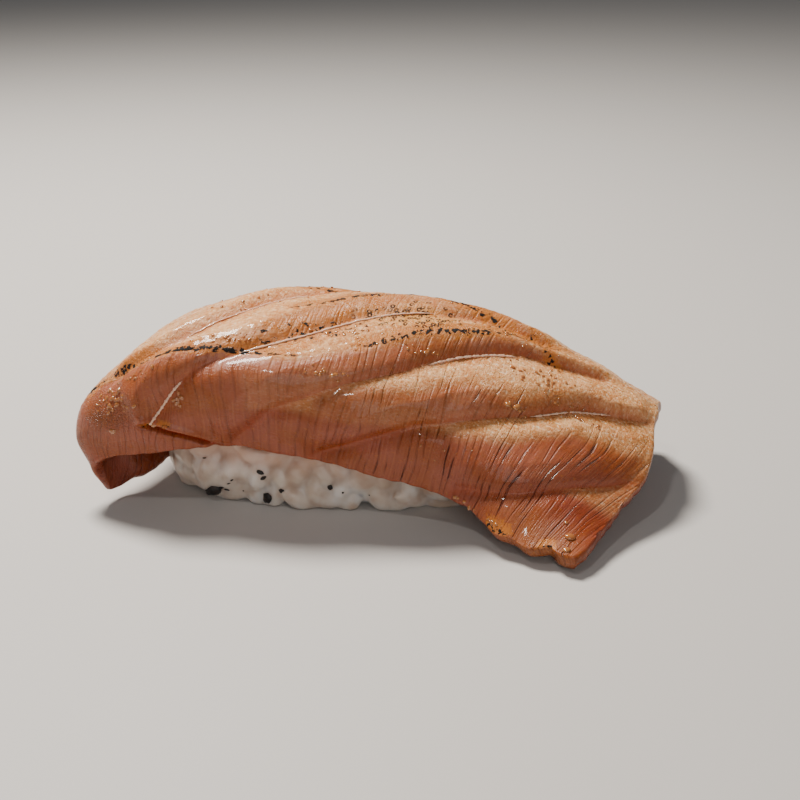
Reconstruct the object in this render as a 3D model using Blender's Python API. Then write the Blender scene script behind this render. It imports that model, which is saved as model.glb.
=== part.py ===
"""Seared salmon nigiri: one slice of salmon draped over a hand-pressed ball of sushi rice.

Metres, +Z up. X runs along the nigiri, the slice's long corner and its cut face look towards -Y,
and the origin is the middle of the rice's flat foot, which stands on the table.
The slice is a slab of even grid squares in a flat (along, across) plan. A loft through eight ribs
lays the plan over the rice, and the muscle bands are raised between their seams.
"""

from collections import namedtuple

import bmesh
import bpy
import numpy as np
from mathutils import Vector, noise

MM = 0.001

# ---- the slice -------------------------------------------------------------------------------
ALONG_SQUARES = 52
ACROSS_SQUARES = 28
RIM_CUTS = 3
EDGE_THICKNESS = 2.1
MIDDLE_THICKNESS = 4.4
RIM_BULGE = 0.55
CORNER_ROUNDING = 0.028
SLICE_LENGTH = 80.0
SLICE_WIDTH = 42.0

# One rib every seventh of the length, left end to right end, in mm.
# rim: the front edge. shoulder: where the front face turns over. crest: the top line.
# belly, hump: how far the front face and the back bow out. back: the step from crest to back edge.
Rib = namedtuple("Rib", "rim shoulder crest belly hump back")
RIBS = (
    Rib((-29.6, -11.4, 2.3), (-25.4, -6.6, 2.2), (-23.2, 0.6, 2.9), 0.3, 1.2, (5.5, 11.2, 2.6)),
    Rib((-29.3, -13.4, 6.6), (-31.4, -8.2, 11.0), (-28.0, 0.2, 12.4), 1.7, 2.4, (8.4, 12.8, -1.6)),
    Rib((-22.0, -13.7, 8.2), (-27.8, -10.8, 15.4), (-24.9, -0.8, 18.2), 2.0, 3.4, (9.3, 14.2, -6.0)),
    Rib((-12.0, -13.6, 9.4), (-16.5, -11.7, 20.0), (-14.0, -2.0, 22.4), 1.4, 3.7, (5.5, 15.6, -9.2)),
    Rib((0.0, -14.2, 7.9), (1.0, -11.6, 19.2), (2.0, -1.5, 23.2), 1.5, 3.8, (2.6, 15.2, -10.3)),
    Rib((13.0, -15.8, 5.4), (14.0, -10.2, 17.4), (15.5, -1.2, 21.6), 1.5, 3.6, (2.0, 13.9, -10.6)),
    Rib((21.4, -20.8, 2.8), (26.5, -10.2, 12.6), (28.0, -1.6, 16.2), 1.0, 3.0, (2.5, 13.0, -8.4)),
    Rib((29.3, -24.9, 2.4), (38.0, -9.8, 6.4), (39.6, -2.0, 10.6), -1.0, 2.0, (1.2, 12.2, -6.2)),
)

# The seams between muscle bands. Each runs from start to end of the length (shares of it), and
# heights are how far across the slice it lies at even stations on the way.
Seam = namedtuple("Seam", "start end heights")
SEAMS = (
    Seam(0.14, 0.66, (0.60, 0.76, 0.86, 0.92, 0.965)),
    Seam(0.30, 1.00, (0.42, 0.485, 0.695, 0.80, 0.85, 0.885, 0.91, 0.935)),
    Seam(0.32, 0.83, (0.131, 0.377, 0.541, 0.612, 0.655)),
    Seam(0.42, 0.92, (-0.03, 0.283, 0.427, 0.547, 0.63)),
    Seam(0.54, 1.00, (0.005, 0.188, 0.312, 0.470, 0.551)),
    Seam(0.73, 1.00, (0.012, 0.086, 0.156, 0.246, 0.357)),
)
STEP_HEIGHT = 0.75
STEP_RUN = 2.3
SEAM_DEPTH = 0.5
SEAM_WIDTH = 1.1
SEAM_FADE = 0.06

# ---- the rice --------------------------------------------------------------------------------
RICE_HALF = (22.0, 11.4, 13.0)
RICE_CENTRE = (-0.4, -0.9, 5.6)
RICE_SQUARENESS = 2.7
RICE_CUTS = 13
RICE_CLEARANCE = 0.35
LUMP_HEIGHT = 1.8
LUMP_SIZE = 4.2
SWELL_HEIGHT = 0.8
SWELL_SIZE = 13.0


def spline(points, at):
    """A Catmull-Rom curve through the rows of points, at 0 to len - 1."""
    last = len(points) - 1
    slope = np.empty_like(points)
    slope[1:-1] = (points[2:] - points[:-2]) / 2
    slope[0] = points[1] - points[0]
    slope[-1] = points[-1] - points[-2]
    i = np.clip(at.astype(int), 0, last - 1)
    f = (at - i).reshape((-1,) + (1,) * (points.ndim - 1))
    return (
        (2 * f**3 - 3 * f**2 + 1) * points[i]
        + (f**3 - 2 * f**2 + f) * slope[i]
        + (3 * f**2 - 2 * f**3) * points[i + 1]
        + (f**3 - f**2) * slope[i + 1]
    )


def unit(v):
    return v / np.linalg.norm(v, axis=-1, keepdims=True)


def cage():
    """Six rails along the eight ribs: rim, belly, shoulder, crest, hump, back edge."""
    rim, shoulder, crest = (np.array([getattr(r, n) for r in RIBS]) for n in ("rim", "shoulder", "crest"))
    back = crest + np.array([r.back for r in RIBS])

    def bowed(low, high, by):
        middle = (low + high) / 2
        out = unit(np.cross(np.gradient(middle, axis=0), high - low))
        return middle + np.array(by)[:, None] * out

    belly = bowed(rim, shoulder, [r.belly for r in RIBS])
    hump = bowed(crest, back, [r.hump for r in RIBS])
    return np.stack([rim, belly, shoulder, crest, hump, back], axis=1)


def thickness(s, t):
    full = (1 - abs(2 * s - 1) ** 3) * (1 - abs(2 * t - 1) ** 2.5)
    return EDGE_THICKNESS + (MIDDLE_THICKNESS - EDGE_THICKNESS) * full


def inner_cage(outer):
    """The same rails one thickness in, so that the underside can't fold on itself at the shoulder."""
    along = np.gradient(outer, axis=0)
    across = np.gradient(outer, axis=1)
    s, t = np.meshgrid(np.linspace(0, 1, len(outer)), np.linspace(0, 1, outer.shape[1]), indexing="ij")
    return outer - thickness(s, t)[..., None] * unit(np.cross(along, across))


def loft(rails, s, t):
    """The point of the lofted sheet at share s of its length and t of its width, for each pair."""
    ribs = spline(rails, s * (len(rails) - 1))
    at = t * (rails.shape[1] - 1)
    return np.stack([spline(rib, at[i : i + 1])[0] for i, rib in enumerate(ribs)])


def sheet_normal(rails, s, t, reach=0.02):
    left, right = np.clip(s - reach, 0, 1), np.clip(s + reach, 0, 1)
    low, high = np.clip(t - reach, 0, 1), np.clip(t + reach, 0, 1)
    return unit(np.cross(loft(rails, right, t) - loft(rails, left, t), loft(rails, s, high) - loft(rails, s, low)))


def ease(x):
    x = np.clip(x, 0, 1)
    return x * x * (3 - 2 * x)


def relief(s, t):
    """Height of the muscle bands over the plain sheet: a step up behind each seam, and its furrow."""
    height = np.zeros_like(s)
    for seam in SEAMS:
        stations = np.array(seam.heights)[:, None]
        last, run = len(stations) - 1, seam.end - seam.start
        share = np.clip((s - seam.start) / run, 0, 1)
        line = spline(stations, share * last)[:, 0]
        ahead = spline(stations, np.clip(share + 0.02, 0, 1) * last)[:, 0]
        slope = (ahead - line) / (0.02 * run)
        away = (t - line) * SLICE_WIDTH / np.sqrt(1 + (slope * SLICE_WIDTH / SLICE_LENGTH) ** 2)
        up = np.clip(away, 0, None) / STEP_RUN
        step = STEP_HEIGHT * up * np.exp(1 - up)
        furrow = SEAM_DEPTH * np.exp(-((away / SEAM_WIDTH) ** 2))
        inside = ease((s - seam.start) / SEAM_FADE + 0.5) * ease((seam.end - s) / SEAM_FADE + 0.5)
        height += (step - furrow) * inside
    to_rim = np.minimum(np.minimum(s, 1 - s) * SLICE_LENGTH, np.minimum(t, 1 - t) * SLICE_WIDTH)
    return height * ease(to_rim / 3.0)


def flat_slab():
    """A slab in plan: x along, y across, both -1 to 1, and z the depth from 0 (top) to 1 (underside)."""
    bm = bmesh.new()
    bmesh.ops.create_grid(bm, x_segments=ALONG_SQUARES, y_segments=ACROSS_SQUARES, size=1)
    sheet = list(bm.verts) + list(bm.edges) + list(bm.faces)
    grown = bmesh.ops.extrude_face_region(bm, geom=sheet, use_keep_orig=True)["geom"]
    bmesh.ops.translate(bm, vec=(0, 0, 1), verts=[g for g in grown if isinstance(g, bmesh.types.BMVert)])
    walls = [e for e in bm.edges if abs(e.verts[0].co.z - e.verts[1].co.z) > 0.5]
    bmesh.ops.subdivide_edges(bm, edges=walls, cuts=RIM_CUTS, use_grid_fill=True)
    bmesh.ops.recalc_face_normals(bm, faces=bm.faces)
    return bm


def drape(bm, lift=0.0, drop=0.0, outset=0.0, banded=True):
    """Lays a flat slab over the rice. lift and drop thicken it, outset widens it, all in mm."""
    plan = np.array([v.co for v in bm.verts])
    a, b, depth = plan.T
    a, b = a * (1 - CORNER_ROUNDING * abs(b) ** 12), b * (1 - CORNER_ROUNDING * abs(a) ** 12)
    s, t = (a + 1) / 2, (b + 1) / 2
    outer = cage()
    inner = inner_cage(outer)
    top = loft(outer, s, t)
    up = sheet_normal(outer, s, t)
    under = loft(inner, s, t) - drop * sheet_normal(inner, s, t)
    raised = lift + (relief(s, t) if banded else np.zeros_like(s))
    top = top + raised[:, None] * up
    point = top + depth[:, None] * (under - top)
    # The rim is rounded: its middle stands out past both faces, away from the middle of the slice.
    nearer = loft(outer, (0.97 * a + 1) / 2, (0.97 * b + 1) / 2)
    on_rim = np.maximum(abs(plan[:, 0]), abs(plan[:, 1])) > 0.999
    away = unit(loft(outer, s, t) - nearer + 1e-9)
    out = outset + RIM_BULGE * np.sin(np.pi * depth)
    point += (on_rim * out)[:, None] * away
    for vert, place in zip(bm.verts, point):
        vert.co = Vector(place) * MM
    # The plan counts depth upwards and the nigiri counts it downwards, so the faces turn over.
    bmesh.ops.reverse_faces(bm, faces=bm.faces)


def rice_ball():
    """A hand-pressed ball of rice: a rounded block with the lumps of its grains, flat underneath."""
    bm = bmesh.new()
    bmesh.ops.create_cube(bm, size=2)
    bmesh.ops.subdivide_edges(bm, edges=bm.edges, cuts=RICE_CUTS, use_grid_fill=True)
    half, centre = Vector(RICE_HALF), Vector(RICE_CENTRE)
    for vert in bm.verts:
        u = vert.co
        size = sum(abs(c) ** RICE_SQUARENESS for c in u) ** (1 / RICE_SQUARENESS)
        place = Vector(half[i] * u[i] / size for i in range(3))
        out = Vector(place[i] / half[i] ** 2 for i in range(3)).normalized()
        nearest = noise.voronoi((centre + place) / LUMP_SIZE)[0][0]
        lump = LUMP_HEIGHT * (0.5 - nearest)
        swell = SWELL_HEIGHT * noise.noise((centre + place) / SWELL_SIZE)
        place += centre + out * (lump + swell)
        place.z = max(place.z, 0)
        vert.co = place * MM
    bmesh.ops.recalc_face_normals(bm, faces=bm.faces)
    return bm


def material(name, colour, roughness, subsurface):
    made = bpy.data.materials.new(name)
    made.use_nodes = True
    shader = made.node_tree.nodes["Principled BSDF"]
    shader.inputs["Base Color"].default_value = (*colour, 1)
    shader.inputs["Roughness"].default_value = roughness
    shader.inputs["Subsurface Weight"].default_value = subsurface
    shader.inputs["Subsurface Scale"].default_value = 0.002
    return made


def add(name, bm, collection, finish):
    mesh = bpy.data.meshes.new(name)
    bm.to_mesh(mesh)
    bm.free()
    mesh.shade_smooth()
    made = bpy.data.objects.new(name, mesh)
    if finish:
        mesh.materials.append(finish)
    collection.objects.link(made)
    return made


def main():
    for old in list(bpy.data.objects):
        bpy.data.objects.remove(old)
    nigiri = bpy.data.collections.new("salmon_nigiri")
    cutters = bpy.data.collections.new("cutters")
    for made in (nigiri, cutters):
        bpy.context.scene.collection.children.link(made)

    slab = flat_slab()
    drape(slab)
    add("salmon_slice", slab, nigiri, material("seared_salmon", (0.62, 0.27, 0.15), 0.35, 0.5))

    hollow = flat_slab()
    drape(hollow, lift=9.0, drop=RICE_CLEARANCE, outset=RICE_CLEARANCE, banded=False)
    cutter = add("slice_hollow", hollow, cutters, None)
    cutter.hide_render = True
    cutter.display_type = "WIRE"

    rice = add("rice", rice_ball(), nigiri, material("sushi_rice", (0.80, 0.76, 0.68), 0.4, 0.6))
    cut = rice.modifiers.new("under_the_slice", "BOOLEAN")
    cut.operation = "DIFFERENCE"
    cut.solver = "EXACT"
    cut.object = cutter


main()
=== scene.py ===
# %% [markdown]
# # Seared salmon nigiri
# A nigiri is a small ball of vinegared rice, pressed by hand, with a slice of raw fish laid over it.
# This one was seared: a torch passed over the top has turned the high edges of the fish tan and dotted
# them with char, while the flesh below stayed pink-brown and moist. The measured model gives the sizes
# and the frame. Here each measured solid is replaced by its finished twin, made in the same frame.

# %% Load the measured model
from collections import namedtuple

import bmesh
import bpy
import numpy as np
from mathutils import Euler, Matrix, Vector, noise


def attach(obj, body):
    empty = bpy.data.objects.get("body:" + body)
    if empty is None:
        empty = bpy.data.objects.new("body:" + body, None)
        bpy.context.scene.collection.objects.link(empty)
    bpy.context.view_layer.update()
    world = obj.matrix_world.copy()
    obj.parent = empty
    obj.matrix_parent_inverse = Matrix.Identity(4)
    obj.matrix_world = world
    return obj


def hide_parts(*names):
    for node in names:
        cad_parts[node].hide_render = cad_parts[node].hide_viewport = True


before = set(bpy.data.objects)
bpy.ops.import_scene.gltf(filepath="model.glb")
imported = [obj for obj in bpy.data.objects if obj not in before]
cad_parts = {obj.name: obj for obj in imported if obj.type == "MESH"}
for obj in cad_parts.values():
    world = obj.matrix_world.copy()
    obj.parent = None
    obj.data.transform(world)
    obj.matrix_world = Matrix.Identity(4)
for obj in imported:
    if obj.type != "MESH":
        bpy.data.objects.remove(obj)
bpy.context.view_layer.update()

MM = 0.001

# %% [markdown]
# ## Where the eye is
# The nigiri is seen from close by, a hand's length away, and a little from above. A near eye makes the
# front corner look larger, so the distance matters as much as the angle. The camera looks 5 degrees
# towards the left end and 23.8 degrees down.

# %% Place the camera
EYE = (19.48 * MM, -140.64 * MM, 72.56 * MM)
LOOKS_DOWN = 23.8
TURNED_LEFT = 5.0
FRAME_WIDTH = 36.0
FOCAL_LENGTH = 53.78
NEAREST_SEEN = 5 * MM


def put_in_scene(name, data):
    """A new object that holds data, linked to the scene."""
    made = bpy.data.objects.new(name, data)
    bpy.context.scene.collection.objects.link(made)
    return made


lens = bpy.data.cameras.new("eye")
lens.sensor_width = FRAME_WIDTH
lens.lens = FOCAL_LENGTH
lens.clip_start = NEAREST_SEEN
camera = put_in_scene("eye", lens)
camera.location = EYE
camera.rotation_euler = (np.radians(90 - LOOKS_DOWN), 0, np.radians(TURNED_LEFT))
bpy.context.scene.camera = camera
print("camera to the rice, mm:", round(camera.location.length / MM))

# %% [markdown]
# ## A curve through a few points
# Everything long on the fish, its edges and its seams, is a smooth curve through a few points. A
# Catmull-Rom curve passes through each point and needs no handles. Written as weights, one row for each
# place on the curve, the same few lines serve one curve, a whole sheet of them, or plain numbers.


# %% Weights of a smooth curve
def weights(count, at):
    """How much each of count points counts at each place, where places run from 0 to count - 1."""
    at = np.asarray(at, float)
    low = np.clip(at.astype(int), 0, count - 2)
    f = at - low
    tangent = np.zeros((count, count))
    for k in range(count):
        before, after = max(k - 1, 0), min(k + 1, count - 1)
        tangent[k, after] += 1 / (after - before)
        tangent[k, before] -= 1 / (after - before)
    rows = np.arange(len(at))
    place, slope = np.zeros((2, len(at), count))
    place[rows, low] = 2 * f**3 - 3 * f**2 + 1
    place[rows, low + 1] = 3 * f**2 - 2 * f**3
    slope[rows, low] = f**3 - 2 * f**2 + f
    slope[rows, low + 1] = f**3 - f**2
    return place + slope @ tangent


def through(values, share):
    """The curve through even stations of plain numbers, at shares 0 to 1 of its run."""
    return weights(len(values), np.clip(share, 0, 1) * (len(values) - 1)) @ np.array(values, float)


def ease(x):
    """0 to 1 with soft ends."""
    x = np.clip(x, 0, 1)
    return x * x * (3 - 2 * x)


print("a curve through 0, 1 and 0, at each quarter:", through((0, 1, 0), np.linspace(0, 1, 5)).round(2))

# %% [markdown]
# ## The slice, hung over the rice
# The slice is a rectangle of fish about 80 by 42 mm, cut on a slant, thin at its edges. It sags over the
# rice as a cloth would, with its left end curled down and its long right corner drawn out to the front.
# A cloth simulation would find a drape of its own, and this one is known, so the sheet is lofted:
# eight ribs across the slice, each with a front rim, a shoulder, a crest and a step on to the back
# edge. Between them the sheet is bowed out, by belly in front and by hump behind.

# %% The ribs and the rails between them
Rib = namedtuple("Rib", "rim shoulder crest belly hump back")
RIBS = (
    Rib((-29.6, -11.4, 2.3), (-25.4, -6.6, 2.2), (-23.2, 0.6, 2.9), 0.3, 1.2, (5.5, 11.2, 2.6)),
    Rib((-29.3, -13.4, 6.6), (-31.4, -8.2, 11.0), (-28.0, 0.2, 12.4), 1.7, 2.4, (8.4, 12.8, -1.6)),
    Rib((-22.0, -13.7, 8.2), (-27.8, -10.8, 15.4), (-24.9, -0.8, 18.2), 2.0, 3.4, (9.3, 14.2, -6.0)),
    Rib((-12.0, -13.6, 9.4), (-16.5, -11.7, 20.0), (-14.0, -2.0, 22.4), 1.4, 3.7, (5.5, 15.6, -9.2)),
    Rib((0.0, -14.2, 7.9), (1.0, -11.6, 19.2), (2.0, -1.5, 23.2), 1.5, 3.8, (2.6, 15.2, -10.3)),
    Rib((13.0, -15.8, 5.4), (14.0, -10.2, 17.4), (15.5, -1.2, 21.6), 1.5, 3.6, (2.0, 13.9, -10.6)),
    Rib((21.4, -20.8, 2.8), (26.5, -10.2, 12.6), (28.0, -1.6, 16.2), 1.0, 3.0, (2.5, 13.0, -8.4)),
    Rib((29.3, -24.9, 2.4), (38.0, -9.8, 6.4), (39.6, -2.0, 10.6), -1.0, 2.0, (1.2, 12.2, -6.2)),
)
SLICE_LENGTH = 80.0
SLICE_WIDTH = 42.0
EDGE_THICKNESS = 2.1
MIDDLE_THICKNESS = 4.4


def unit(v):
    return v / np.linalg.norm(v, axis=-1, keepdims=True)


def top_rails():
    rim, shoulder, crest = (np.array([getattr(r, n) for r in RIBS]) for n in ("rim", "shoulder", "crest"))
    back = crest + np.array([r.back for r in RIBS])

    def bowed(low, high, by):
        middle = (low + high) / 2
        return middle + np.array(by)[:, None] * unit(np.cross(np.gradient(middle, axis=0), high - low))

    belly = bowed(rim, shoulder, [r.belly for r in RIBS])
    hump = bowed(crest, back, [r.hump for r in RIBS])
    return np.stack([rim, belly, shoulder, crest, hump, back], axis=1)


def underside_rails(top):
    s, t = np.meshgrid(np.linspace(0, 1, top.shape[0]), np.linspace(0, 1, top.shape[1]), indexing="ij")
    full = (1 - abs(2 * s - 1) ** 3) * (1 - abs(2 * t - 1) ** 2.5)
    thick = EDGE_THICKNESS + (MIDDLE_THICKNESS - EDGE_THICKNESS) * full
    return top - thick[..., None] * unit(np.cross(np.gradient(top, axis=0), np.gradient(top, axis=1)))


def loft(rails, s, t):
    """Points of the sheet at shares s of its length and t of its width, in mm."""
    ribs = np.einsum("pi,ijk->pjk", weights(rails.shape[0], s * (rails.shape[0] - 1)), rails)
    return np.einsum("pj,pjk->pk", weights(rails.shape[1], t * (rails.shape[1] - 1)), ribs)


def facing(rails, s, t, reach=0.02):
    """The way the sheet faces, a little smoothed."""
    left, right = np.clip(s - reach, 0, 1), np.clip(s + reach, 0, 1)
    low, high = np.clip(t - reach, 0, 1), np.clip(t + reach, 0, 1)
    along = loft(rails, right, t) - loft(rails, left, t)
    across = loft(rails, s, high) - loft(rails, s, low)
    return unit(np.cross(along, across))


TOP = top_rails()
UNDERSIDE = underside_rails(TOP)
print("rails:", TOP.shape[1], "over ribs:", TOP.shape[0])

# %% [markdown]
# ## Muscle bands, seams and the torch
# Salmon flesh is built in bands, with a thin seam of fat and skin-like tissue between each two. Cut on a
# slant, the bands show as long steps: from a seam a smooth pink face climbs to an edge, and behind the
# edge a flat top runs on to the next seam. The torch caught the edges and the tops. Carving each step by
# hand would be slow to change, so each seam is a row of a table: its line over the slice, how wide its
# face is, how soft its edge, how high its step, how deep its furrow, how raw it is and how much flesh shows.

# %% Tables of the seams and the char
Seam = namedtuple("Seam", "start end line face soft step furrow raw meat")
SEAMS = (
    Seam(0.14, 0.66, (0.60, 0.76, 0.86, 0.92, 0.965), (2.0, 3.0, 3.0, 2.5, 2.0), 1.2, 0.8, 0.5, 0.1, 0.35),
    Seam(0.02, 0.62, (0.72, 0.84, 0.905, 0.935, 0.95), (2.4, 3.2, 2.8, 2.2, 1.6), 1.4, 0.6, 0.5, 0.1, 0.4),
    Seam(0.52, 0.98, (0.995, 0.975, 0.93, 0.86, 0.80), (0.4, 1.4, 2.6, 2.4, 1.2), 1.4, 0.5, 0.5, 0.1, 0.4),
    Seam(0.30, 1.00, (0.42, 0.485, 0.695, 0.80, 0.85, 0.885, 0.91, 0.935),
         (0.6, 1.8, 2.6, 3.0, 3.4, 3.0, 2.6, 2.2), 1.6, 0.75, 0.5, 0.1, 0.32),
    Seam(0.32, 0.83, (0.131, 0.377, 0.541, 0.612, 0.655), (12.0, 3.0, 3.4, 2.6, 0.3),
         1.4, 0.85, 0.5, 0.15, 0.55),
    Seam(0.42, 0.92, (-0.03, 0.283, 0.427, 0.547, 0.63), (18.0, 6.0, 3.2, 1.6, 0.3),
         2.2, 0.8, 0.5, 0.25, 0.85),
    Seam(0.54, 1.00, (0.005, 0.188, 0.312, 0.470, 0.551), (12.0, 7.2, 4.2, 1.6, 0.5),
         3.6, 0.75, 0.7, 0.35, 0.85),
    Seam(0.73, 1.00, (0.012, 0.086, 0.156, 0.246, 0.357), (8.0, 8.0, 8.5, 7.2, 4.4),
         3.4, 0.4, 0.5, 0.5, 0.95),
)
# Where the torch charred an edge: a line, how dark it is along its run, and how far it spreads in mm.
Char = namedtuple("Char", "start end line dark spread")
CHARS = (
    Char(0.20, 0.275, (0.425, 0.415, 0.44), (0.6, 1.0, 0.5), 0.75),
    Char(0.26, 0.38, (0.437, 0.44, 0.436, 0.428), (0.5, 0.8, 1.0, 1.0), 0.42),
    Char(0.37, 0.53, (0.428, 0.424, 0.426, 0.414), (1.0, 1.0, 0.95, 0.5), 0.42),
    Char(0.32, 0.56, (0.70, 0.745, 0.748, 0.74), (0.4, 0.9, 0.8, 0.3), 0.5),
    Char(0.50, 0.79, (0.55, 0.63, 0.69, 0.655, 0.615), (0.55, 1.0, 1.1, 0.85, 0.4), 0.5),
    Char(0.58, 0.86, (0.455, 0.500, 0.548, 0.61, 0.675), (0.6, 0.85, 0.95, 0.8, 0.4), 0.45),
    Char(0.48, 0.60, (0.47, 0.50, 0.53), (0.3, 0.5, 0.3), 1.4),
    Char(0.25, 0.86, (0.80, 0.87, 0.90, 0.905, 0.90), (0.4, 1.0, 0.8, 1.05, 0.3), 0.6),
    Char(0.40, 0.95, (0.70, 0.79, 0.85, 0.86, 0.86), (0.3, 0.7, 0.6, 0.9, 0.4), 0.7),
    Char(0.79, 0.86, (0.665, 0.60, 0.55), (0.6, 0.7, 0.3), 0.5),
    Char(0.315, 0.335, (0.142, 0.135), (1.0, 0.9), 0.3),
    Char(0.345, 0.36, (0.135, 0.128), (1.0, 0.8), 0.28),
    Char(0.81, 0.86, (0.006, 0.006), (0.9, 0.7), 0.3),
    Char(0.915, 0.945, (0.010, 0.006), (1.1, 1.1), 0.35),
)
# Small blisters with a burnt rim stand in patches: where, how strong, and their spread along and across.
Blisters = namedtuple("Blisters", "s t strength along across")
BLISTERS = (
    Blisters(0.66, 0.575, 1.0, 4.2, 2.4),
    Blisters(0.60, 0.56, 0.7, 3.5, 1.5),
    Blisters(0.70, 0.87, 0.9, 6.0, 2.5),
    Blisters(0.45, 0.86, 0.6, 6.0, 2.0),
)
# The upper block lifts off the rim at the left, and a dark slit opens under it.
SLIT = Seam(0.318, 0.40, (0.152, 0.098, 0.050, 0.004), (0.0, 0.0), 0.1, 0.0, 1.5, 1.0, 1.0)
print("seams:", len(SEAMS), "charred edges:", len(CHARS), "patches of blisters:", len(BLISTERS))

# %% [markdown]
# From the tables, each point of the slice finds how far it lies from every seam and charred edge. Its
# height climbs over the seam's face and sinks slowly behind it. Char is strongest on its line, and the
# scorched halo round it is wider and lies a little higher up.

# %% Work out the bands and the char
FACE_WAVER = 0.07
CLIMB_LEAST, CLIMB_MOST = 1.2, 3.4
SINKS_OVER = 5.0
FURROW_ABOVE, FURROW_BELOW = 0.8, 1.5
RAW_REACH = 1.7
HALO_HIGHER = 0.4
HALO_WIDER = 2.6
NO_SEAM_NEAR = 9.0


def line_of(seam, s):
    """Across-share of a seam at s, how steep it runs (mm over mm), and 1 on its run fading to 0 past it."""
    run = seam.end - seam.start
    share = (s - seam.start) / run
    line = through(seam.line, share)
    steep = (through(seam.line, share + 0.02) - through(seam.line, share - 0.02)) / (0.04 * run)
    there = ease((s - seam.start) / 0.03 + 0.5) * ease((seam.end - s) / 0.05 + 0.5)
    return line, steep * SLICE_WIDTH / SLICE_LENGTH, there


def bands(s, t):
    """Everything the seams and the torch do, for each point of the plan."""
    across = t * SLICE_WIDTH
    height, flesh, raw = np.zeros((3, len(s)))
    nearest = np.full(len(s), NO_SEAM_NEAR)
    for seam in SEAMS:
        line, steep, there = line_of(seam, s)
        above = across - line * SLICE_WIDTH
        straight = above / np.sqrt(1 + steep**2)
        face = through(seam.face, (s - seam.start) / (seam.end - seam.start))
        face = face * (1 + FACE_WAVER * np.sin(s * 41 + seam.end * 9))
        shown = ease((face - above) / seam.soft + 0.5) * ease(above / 0.4 + 0.5)
        flesh = np.maximum(flesh, seam.meat * there * shown)
        climb = np.clip(face, CLIMB_LEAST, CLIMB_MOST)
        up = np.clip(straight, 0, None)
        rise = np.where(up < climb, (up / climb) ** 0.8, np.exp(-(up - climb) / SINKS_OVER))
        furrow = np.exp(-((straight / np.where(straight > 0, FURROW_ABOVE, FURROW_BELOW)) ** 2))
        height += there * (seam.step * rise - seam.furrow * furrow)
        raw = np.maximum(raw, there * seam.raw * np.exp(-((straight / RAW_REACH) ** 2)))
        nearest = np.where((abs(straight) < abs(nearest)) & (there > 0.5), straight, nearest)
    return height, flesh, raw, nearest


def charred(s, t):
    """How black, how scorched and how blistered each point of the plan is."""
    dark, scorch = np.zeros((2, len(s)))
    for c in CHARS:
        share = (s - c.start) / (c.end - c.start)
        away = (t - through(c.line, share)) * SLICE_WIDTH
        there = ease((s - c.start) / 0.02 + 0.5) * ease((c.end - s) / 0.02 + 0.5)
        along = there * through(c.dark, share)
        dark = np.maximum(dark, along * np.exp(-((away / c.spread) ** 2)))
        halo_at = (away - HALO_HIGHER) / (HALO_WIDER * c.spread)
        scorch = np.maximum(scorch, along * np.exp(-(halo_at**2)))
    ringed = np.zeros(len(s))
    for b in BLISTERS:
        along, across = (s - b.s) * SLICE_LENGTH, (t - b.t) * SLICE_WIDTH
        ringed = np.maximum(ringed, b.strength * np.exp(-((along / b.along) ** 2) - (across / b.across) ** 2))
    return dark, scorch, ringed


print("halfway along, the fourth seam is at", line_of(SEAMS[3], np.array([0.5]))[0].round(2), "of the width")

# %% [markdown]
# ## The grid the slice is made of
# A flat slab in plan is easy to make right: a fine grid on top, a coarse one underneath, and a rim of a
# few rings bridged between them. Only then is it bent, so no step can tear it. The top squares are
# 0.2 mm, which is what the grooves and blisters need. The underside is smooth and gets one in sixteen.

# %% Make the flat slab
FINE = (384, 192)
COARSE = (96, 48)
RIM_RINGS = 4


def flat_slab():
    """The slab in plan: x along and y across, -1 to 1, and z its depth from 0 (top) to 1 (underside)."""
    bm = bmesh.new()
    bmesh.ops.create_grid(bm, x_segments=FINE[0], y_segments=FINE[1], size=1)
    ring = [e for e in bm.edges if e.is_boundary]
    low = bmesh.ops.create_grid(bm, x_segments=COARSE[0], y_segments=COARSE[1], size=1)["verts"]
    bmesh.ops.translate(bm, verts=low, vec=(0, 0, 1))
    low = set(low)
    low_edge = [e for e in bm.edges if e.is_boundary and e.verts[0] in low]
    for _ in range(RIM_RINGS):
        grown = bmesh.ops.extrude_edge_only(bm, edges=ring)["geom"]
        down = [g for g in grown if isinstance(g, bmesh.types.BMVert)]
        bmesh.ops.translate(bm, verts=down, vec=(0, 0, 1 / (RIM_RINGS + 1)))
        ring = [g for g in grown if isinstance(g, bmesh.types.BMEdge) and g.is_boundary]
    bmesh.ops.bridge_loops(bm, edges=ring + low_edge)
    bmesh.ops.recalc_face_normals(bm, faces=bm.faces)
    bmesh.ops.reverse_faces(bm, faces=bm.faces)
    slab = bpy.data.meshes.new("salmon")
    bm.to_mesh(slab)
    bm.free()
    return slab


salmon_mesh = flat_slab()
plan = np.empty(len(salmon_mesh.vertices) * 3)
salmon_mesh.vertices.foreach_get("co", plan)
plan = plan.reshape(-1, 3)
print("points of the slice:", len(plan), "faces:", len(salmon_mesh.polygons))

# %% [markdown]
# ## Fibres and blisters
# Between two seams the muscle fibres run from one to the other. They lean most at the left end, run
# nearly straight across past the middle, and lean a little again at the right. Heat draws them apart
# into fine grooves. Where the torch passed, the surface puffed into blisters under a millimetre across.
# Bump in the finish alone would look flat from the side, so both are raised in the mesh.

# %% The shape of the top, step by step
LEAN = (0.50, 0.52, 0.55, 0.48, 0.25, 0.10, 0.09, 0.12, 0.17, 0.22, 0.26)
LEAN_CENTRE = 10.5
FIBRE_SPACING = 0.92
SEAM_WANDER = 0.012
GROOVE, GROOVE_GAPING = 0.015, 0.04
SWELL_WIDE, SWELL_NARROW = 0.16, 0.07
BLISTER, BLISTER_SMALL = 0.09, 0.05
LIP = 0.45


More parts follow.
